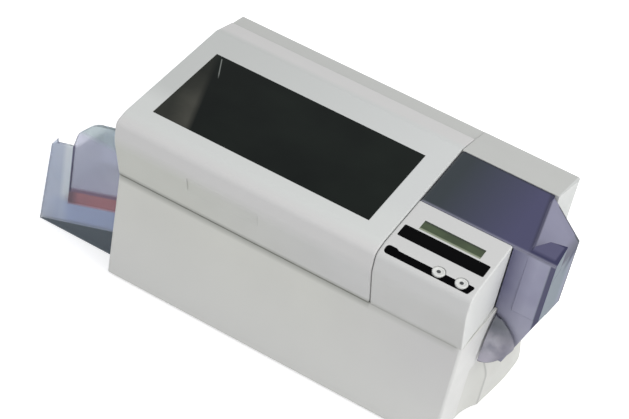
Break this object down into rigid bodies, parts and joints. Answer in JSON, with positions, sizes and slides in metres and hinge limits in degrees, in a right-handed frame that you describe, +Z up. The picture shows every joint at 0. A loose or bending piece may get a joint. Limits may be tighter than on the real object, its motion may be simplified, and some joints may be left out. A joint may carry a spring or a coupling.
{
  "type": "id card printer",
  "caption": "Desktop plastic-card printer: hinged lid with a dark window, hinged clear feeder cover at one end, lift-off output bin at the other, panel with display and keys.",
  "frame": {"origin": "middle of the footprint of the whole printer, on the table", "axes": "+X from the output bin towards the card feeder, +Y from the front with the keys to the rear with the plugs, +Z up"},
  "size_m": [0.619, 0.281, 0.258],
  "materials": {
    "shell": "fine satin moulding",
    "shell_top": "fine satin moulding",
    "smoked_window": "smoked, glossy",
    "smoked_cover": "violet-grey clear moulding",
    "smoked_bin": "blue-grey clear moulding",
    "band_black": "printed black",
    "display_green": "clear lens over a green display",
    "display_frame": "display module",
    "key_white": "satin",
    "circuit_green": "lacquered circuit board",
    "rubber_black": "matt",
    "rubber_grey": "ground roller rubber",
    "steel": "bright",
    "plated_steel": "zinc-plated sheet",
    "aluminium": "milled",
    "black_plastic": "moulded",
    "tray_plastic": "moulded",
    "blank_card": "blank white card",
    "printed_card": "printed red-brown",
    "blue_plastic": "moulded",
    "gear_plastic": "moulded acetal",
    "ribbon": "dye film",
    "supply_metal": "folded sheet case"
  },
  "bodies": {
    "casing": {"base_housing": "shell", "rubber_feet": "rubber_black", "feeder_plinth": "shell", "rear_cover": "shell", "case_screws": "steel", "control_housing": "shell_top", "panel_overlay": "band_black", "display_module": "display_frame", "display_lens": "display_green", "panel_board": "circuit_green", "hinge_pins": "steel", "feed_tray": "tray_plastic", "input_cards": "blank_card", "small_motors": "black_plastic", "cleaning_cassette": "black_plastic", "chassis_plate": "plated_steel", "front_side_plate": "plated_steel", "rear_side_plate": "plated_steel", "plate_spacers": "steel", "card_sensors": "black_plastic", "ribbon_film": "ribbon", "main_motor": "black_plastic", "timing_belt": "rubber_black", "main_board": "circuit_green", "power_supply": "supply_metal", "power_inlet": "black_plastic", "data_ports": "steel", "fan_frame": "black_plastic"},
    "lid": {"top_lid": "shell_top", "lid_window": "smoked_window"},
    "feeder_cover": {"feeder_cover": "smoked_cover"},
    "output_bin": {"output_hopper": "smoked_bin", "output_cards": "printed_card"},
    "left_button": {"left_button": "key_white"},
    "right_button": {"right_button": "key_white"},
    "card_weight": {"card_weight": "tray_plastic"},
    "thickness_gate": {"thickness_gate": "blue_plastic"},
    "feed_roller": {"feed_roller": "rubber_grey"},
    "cleaning_roller": {"cleaning_roller": "blue_plastic"},
    "cleaning_drive_roller": {"cleaning_drive_roller": "rubber_grey"},
    "first_transport_roller": {"first_transport_roller": "rubber_grey"},
    "first_pinch_roller": {"first_pinch_roller": "steel"},
    "platen": {"platen_roller": "rubber_black", "platen_shaft": "steel", "drive_gear": "gear_plastic"},
    "second_transport_roller": {"second_transport_roller": "rubber_grey"},
    "second_pinch_roller": {"second_pinch_roller": "steel"},
    "exit_roller": {"exit_roller": "rubber_grey"},
    "exit_pinch_roller": {"exit_pinch_roller": "steel"},
    "motor_pinion": {"motor_pinion": "steel"},
    "print_head": {"print_head": "aluminium", "head_carriage": "black_plastic"},
    "head_lever": {"head_lever": "blue_plastic"},
    "supply_spool": {"supply_spool": "ribbon"},
    "take_up_spool": {"take_up_spool": "ribbon"},
    "flipper": {"flipper_frame": "black_plastic"},
    "flipper_roller": {"flipper_roller": "rubber_grey"},
    "power_rocker": {"power_rocker": "black_plastic"},
    "fan_rotor": {"fan_rotor": "black_plastic"}
  },
  "joints": [
    {"name": "lid_hinge", "type": "hinge", "parent": "casing", "child": "lid", "pos_m": [0, 0.1145, 0.2365], "axis": [-1, 0, 0], "range_deg": [0, 75]},
    {"name": "feeder_cover_hinge", "type": "hinge", "parent": "casing", "child": "feeder_cover", "pos_m": [0.1464, 0.0103, 0.254], "axis": [0, -1, 0], "range_deg": [0, 80]},
    {"name": "bin_lift", "type": "slide", "parent": "casing", "child": "output_bin", "axis": [0, 0, 1], "range_m": [0, 0.012]},
    {"name": "left_button_press", "type": "slide", "parent": "casing", "child": "left_button", "axis": [0, 0, -1], "range_m": [0, 0.0012], "stiffness_N_per_m": 300, "springref_m": -0.0008},
    {"name": "right_button_press", "type": "slide", "parent": "casing", "child": "right_button", "axis": [0, 0, -1], "range_m": [0, 0.0012], "stiffness_N_per_m": 300, "springref_m": -0.0008},
    {"name": "weight_lift", "type": "slide", "parent": "casing", "child": "card_weight", "axis": [0, 0, 1], "range_m": [0, 0.02]},
    {"name": "gate_slide", "type": "slide", "parent": "casing", "child": "thickness_gate", "axis": [0, 0, 1], "range_m": [0, 0.004]},
    {"name": "feed_roller_spin", "type": "hinge", "parent": "casing", "child": "feed_roller", "pos_m": [0.2185, 0.0103, 0.125], "axis": [0, 1, 0], "continuous": true},
    {"name": "platen_spin", "type": "hinge", "parent": "casing", "child": "platen", "pos_m": [0.0535, 0.0103, 0.126], "axis": [0, 1, 0], "continuous": true},
    {"name": "cleaning_drive_spin", "type": "hinge", "parent": "casing", "child": "cleaning_drive_roller", "pos_m": [0.1835, 0.0103, 0.126], "axis": [0, 1, 0], "continuous": true},
    {"name": "first_transport_spin", "type": "hinge", "parent": "casing", "child": "first_transport_roller", "pos_m": [0.1215, 0.0103, 0.126], "axis": [0, 1, 0], "continuous": true},
    {"name": "second_transport_spin", "type": "hinge", "parent": "casing", "child": "second_transport_roller", "pos_m": [-0.0115, 0.0103, 0.126], "axis": [0, 1, 0], "continuous": true},
    {"name": "exit_roller_spin", "type": "hinge", "parent": "casing", "child": "exit_roller", "pos_m": [-0.1515, 0.0103, 0.126], "axis": [0, 1, 0], "continuous": true},
    {"name": "cleaning_roller_spin", "type": "hinge", "parent": "casing", "child": "cleaning_roller", "pos_m": [0.1835, 0.0103, 0.1438], "axis": [0, 1, 0], "continuous": true},
    {"name": "first_pinch_spin", "type": "hinge", "parent": "casing", "child": "first_pinch_roller", "pos_m": [0.1215, 0.0103, 0.1418], "axis": [0, 1, 0], "continuous": true},
    {"name": "second_pinch_spin", "type": "hinge", "parent": "casing", "child": "second_pinch_roller", "pos_m": [-0.0115, 0.0103, 0.1418], "axis": [0, 1, 0], "continuous": true},
    {"name": "exit_pinch_spin", "type": "hinge", "parent": "casing", "child": "exit_pinch_roller", "pos_m": [-0.1515, 0.0103, 0.1418], "axis": [0, 1, 0], "continuous": true},
    {"name": "motor_spin", "type": "hinge", "parent": "casing", "child": "motor_pinion", "pos_m": [0.0535, 0.0103, 0.091], "axis": [0, 1, 0], "continuous": true},
    {"name": "head_lever_turn", "type": "hinge", "parent": "casing", "child": "head_lever", "pos_m": [0.0535, 0.0103, 0.194], "axis": [0, 1, 0], "range_deg": [0, 92]},
    {"name": "head_lift", "type": "slide", "parent": "casing", "child": "print_head", "axis": [0, 0, 1], "range_m": [0, 0.01]},
    {"name": "supply_spool_spin", "type": "hinge", "parent": "casing", "child": "supply_spool", "pos_m": [0.1085, 0.0103, 0.19], "axis": [0, 1, 0], "continuous": true},
    {"name": "take_up_spool_spin", "type": "hinge", "parent": "casing", "child": "take_up_spool", "pos_m": [-0.0015, 0.0103, 0.19], "axis": [0, 1, 0], "continuous": true},
    {"name": "flipper_turn", "type": "hinge", "parent": "casing", "child": "flipper", "pos_m": [-0.0815, 0.0103, 0.135], "axis": [0, 1, 0], "continuous": true},
    {"name": "flipper_roller_spin", "type": "hinge", "parent": "flipper", "child": "flipper_roller", "pos_m": [-0.0955, 0.0103, 0.1307], "axis": [0, 1, 0], "continuous": true},
    {"name": "power_rocker_tilt", "type": "hinge", "parent": "casing", "child": "power_rocker", "pos_m": [-0.0985, 0.1312, 0.04], "axis": [1, 0, 0], "range_deg": [0, 24]},
    {"name": "fan_spin", "type": "hinge", "parent": "casing", "child": "fan_rotor", "pos_m": [-0.0405, 0.1375, 0.096], "axis": [0, 1, 0], "continuous": true}
  ],
  "couplings": [
    {"joint": "cleaning_drive_spin", "follows": "platen_spin", "ratio": 1},
    {"joint": "first_transport_spin", "follows": "platen_spin", "ratio": 1},
    {"joint": "second_transport_spin", "follows": "platen_spin", "ratio": 1},
    {"joint": "exit_roller_spin", "follows": "platen_spin", "ratio": 1},
    {"joint": "cleaning_roller_spin", "follows": "platen_spin", "ratio": -1.125},
    {"joint": "first_pinch_spin", "follows": "platen_spin", "ratio": -1.5},
    {"joint": "second_pinch_spin", "follows": "platen_spin", "ratio": -1.5},
    {"joint": "exit_pinch_spin", "follows": "platen_spin", "ratio": -1.5},
    {"joint": "motor_spin", "follows": "platen_spin", "ratio": -4},
    {"joint": "head_lever_turn", "follows": "head_lift", "rad_per_m": 157.08}
  ]
}
